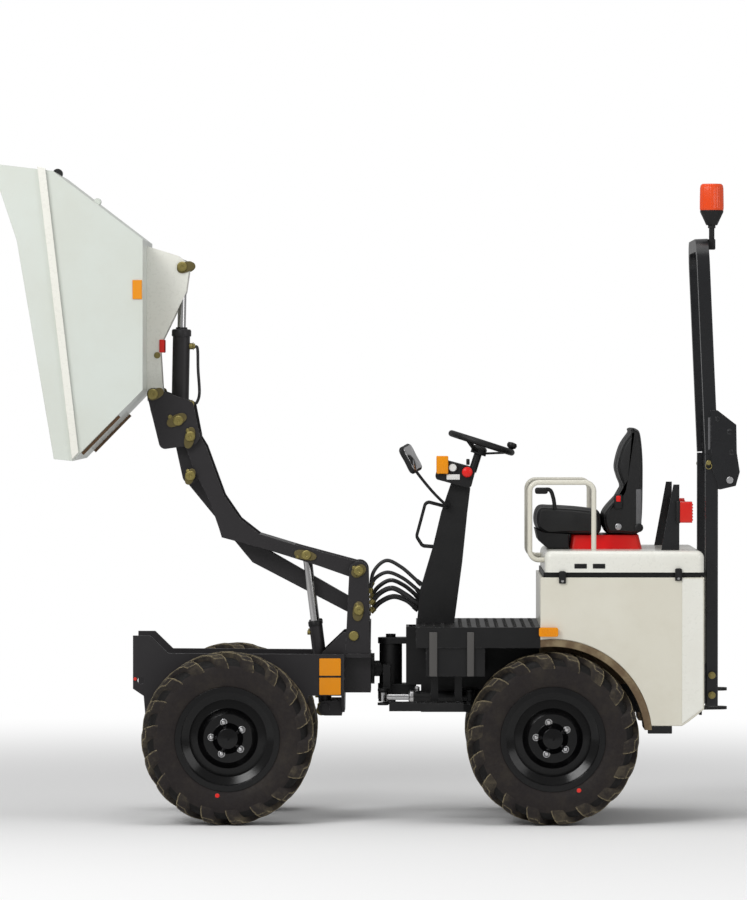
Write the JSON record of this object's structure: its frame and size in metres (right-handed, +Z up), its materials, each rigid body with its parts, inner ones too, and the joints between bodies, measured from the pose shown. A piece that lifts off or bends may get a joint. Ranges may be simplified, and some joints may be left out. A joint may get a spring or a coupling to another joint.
{
  "type": "site dumper",
  "caption": "Articulated four-wheel site dumper with a skip on a parallelogram lift, seat, steering column and folding roll hoop.",
  "frame": {"origin": "middle of the part's box at floor level, with the tyres on the floor", "axes": "+X forwards to the skip, +Y to the machine's left, +Z up"},
  "size_m": [2.968, 0.9996, 2.6219],
  "materials": {
    "tyre_rubber": "dusty black rubber",
    "rim_black": "gloss black paint",
    "arm_grey": "satin charcoal paint",
    "chassis_black": "satin black paint",
    "skip_paint": "pale grey-green gloss paint",
    "body_paint": "cream gloss paint",
    "hoop_paint": "satin charcoal paint",
    "liner_brown": "dusty dark moulding",
    "cylinder_black": "satin black paint",
    "chrome_rod": "hard chrome",
    "red_paint": "red paint",
    "seat_vinyl": "black seat vinyl",
    "black_plastic": "black moulded plastic",
    "amber": "amber plastic",
    "red_lens": "red lens",
    "beacon_lens": "orange lens",
    "hose_rubber": "black rubber hose",
    "engine_iron": "grey casting"
  },
  "bodies": {
    "rear_chassis": {"rear_frame": "chassis_black", "rear_axle": "chassis_black", "platform": "chassis_black", "side_boxes": "chassis_black", "steps": "chassis_black", "side_panels": "body_paint", "end_panels": "body_paint", "arch_liners": "liner_brown", "bay_frame": "chassis_black", "engine_block": "engine_iron", "steering_column": "black_plastic", "console": "black_plastic", "mirror": "black_plastic", "hoop_posts": "hoop_paint", "side_lamps": "amber", "tow_hitch": "chassis_black"},
    "engine_cover": {"bonnet": "body_paint", "seat_base": "red_paint", "seat_cushion": "seat_vinyl", "seat_back": "seat_vinyl", "hand_rails": "body_paint", "lamp_posts": "hoop_paint", "tail_lamps": "red_lens"},
    "roll_hoop_body": {"roll_hoop": "hoop_paint", "beacon": "beacon_lens"},
    "steering_wheel_body": {"steering_wheel": "black_plastic"},
    "pivot_block": {"artic_block": "chassis_black", "pivot_hoses": "hose_rubber"},
    "front_chassis": {"front_frame": "arm_grey", "tower": "arm_grey", "front_axle": "chassis_black", "amber_plates": "amber"},
    "upper_link": {"upper_arm": "arm_grey"},
    "lower_link": {"lower_arm": "chassis_black"},
    "head": {"headstock": "arm_grey"},
    "skip": {"skip_floor_and_ends": "skip_paint", "skip_sides": "skip_paint", "skip_bracket": "skip_paint"},
    "tip_barrel": {"tip_cylinder_barrel": "cylinder_black"},
    "tip_rod": {"tip_cylinder_rod": "chrome_rod"},
    "lift_barrels": {"lift_cylinder_barrels": "cylinder_black"},
    "lift_rods": {"lift_cylinder_rods": "chrome_rod"},
    "steer_barrel": {"steer_cylinder_barrel": "cylinder_black"},
    "steer_rod": {"steer_cylinder_rod": "chrome_rod"},
    "wheel_front_left": {"tyre_front_left": "tyre_rubber", "rim_front_left": "rim_black"},
    "wheel_front_right": {"tyre_front_right": "tyre_rubber", "rim_front_right": "rim_black"},
    "wheel_rear_left": {"tyre_rear_left": "tyre_rubber", "rim_rear_left": "rim_black"},
    "wheel_rear_right": {"tyre_rear_right": "tyre_rubber", "rim_rear_right": "rim_black"}
  },
  "joints": [
    {"name": "articulation", "type": "hinge", "parent": "rear_chassis", "child": "pivot_block", "pos_m": [-0.094, 0, 0.6], "axis": [0, 0, 1], "range_deg": [-30, 30], "deforming": ["pivot_hoses"]},
    {"name": "chassis_roll", "type": "hinge", "parent": "pivot_block", "child": "front_chassis", "pos_m": [-0.094, 0, 0.6], "axis": [1, 0, 0], "range_deg": [-10, 10]},
    {"name": "lift", "type": "hinge", "parent": "front_chassis", "child": "upper_link", "pos_m": [0.034, 0, 0.999], "axis": [0, -1, 0], "range_deg": [-65, 0]},
    {"name": "lower_link_turn", "type": "hinge", "parent": "front_chassis", "child": "lower_link", "pos_m": [0.034, 0, 0.841], "axis": [0, -1, 0], "range_deg": [-65, 0]},
    {"name": "head_level", "type": "hinge", "parent": "upper_link", "child": "head", "pos_m": [0.711, 0, 1.54], "axis": [0, -1, 0], "range_deg": [0, 65]},
    {"name": "skip_tip", "type": "hinge", "parent": "head", "child": "skip", "pos_m": [0.861, 0, 1.71], "axis": [0, 1, 0], "range_deg": [-90, 0]},
    {"name": "tip_barrel_turn", "type": "hinge", "parent": "head", "child": "tip_barrel", "pos_m": [0.759, 0, 1.603], "axis": [0, 1, 0], "range_deg": [-90.87, 0]},
    {"name": "tip_rod_slide", "type": "slide", "parent": "tip_barrel", "child": "tip_rod", "axis": [-0.0194, 0, 0.9998], "range_m": [-0.2101, 0]},
    {"name": "lift_barrel_turn", "type": "hinge", "parent": "front_chassis", "child": "lift_barrels", "pos_m": [0.168, 0, 0.446], "axis": [0, -1, 0], "range_deg": [0, 5.52]},
    {"name": "lift_rod_slide", "type": "slide", "parent": "lift_barrels", "child": "lift_rods", "axis": [0.124, 0, 0.9923], "range_m": [-0.2332, 0]},
    {"name": "steer_barrel_turn", "type": "hinge", "parent": "rear_chassis", "child": "steer_barrel", "pos_m": [-0.415, 0.15, 0.493], "axis": [0, 0, 1], "range_deg": [-3, 3]},
    {"name": "steer_rod_slide", "type": "slide", "parent": "steer_barrel", "child": "steer_rod", "axis": [1, 0, 0], "range_m": [-0.08, 0.08]},
    {"name": "roll_hoop_fold", "type": "hinge", "parent": "rear_chassis", "child": "roll_hoop_body", "pos_m": [-1.444, 0, 1.368], "axis": [0, 1, 0], "range_deg": [-170, 0]},
    {"name": "engine_cover_open", "type": "hinge", "parent": "rear_chassis", "child": "engine_cover", "pos_m": [-1.023, -0.446, 1], "axis": [1, 0, 0], "range_deg": [0, 68]},
    {"name": "steering_wheel_turn", "type": "hinge", "parent": "rear_chassis", "child": "steering_wheel_body", "pos_m": [-0.461, 0, 1.512], "axis": [-0.304, 0, 0.9527], "continuous": true},
    {"name": "wheel_front_left_spin", "type": "hinge", "parent": "front_chassis", "child": "wheel_front_left", "pos_m": [0.551, 0.392, 0.343], "axis": [0, 1, 0], "continuous": true},
    {"name": "wheel_front_right_spin", "type": "hinge", "parent": "front_chassis", "child": "wheel_front_right", "pos_m": [0.551, -0.392, 0.343], "axis": [0, 1, 0], "continuous": true},
    {"name": "wheel_rear_left_spin", "type": "hinge", "parent": "rear_chassis", "child": "wheel_rear_left", "pos_m": [-0.739, 0.392, 0.343], "axis": [0, 1, 0], "continuous": true},
    {"name": "wheel_rear_right_spin", "type": "hinge", "parent": "rear_chassis", "child": "wheel_rear_right", "pos_m": [-0.739, -0.392, 0.343], "axis": [0, 1, 0], "continuous": true}
  ],
  "couplings": [
    {"joint": "lower_link_turn", "follows": "lift", "ratio": 1},
    {"joint": "head_level", "follows": "lift", "ratio": -1},
    {"joint": "lift_barrel_turn", "follows": "lift", "ratio": -0.08178},
    {"joint": "lift_rod_slide", "follows": "lift", "m_per_rad": 0.20468},
    {"joint": "tip_barrel_turn", "follows": "skip_tip", "ratio": 0.99852},
    {"joint": "tip_rod_slide", "follows": "skip_tip", "m_per_rad": 0.13309},
    {"joint": "steer_barrel_turn", "follows": "articulation", "ratio": 0.06135},
    {"joint": "steer_rod_slide", "follows": "articulation", "m_per_rad": -0.14459}
  ]
}
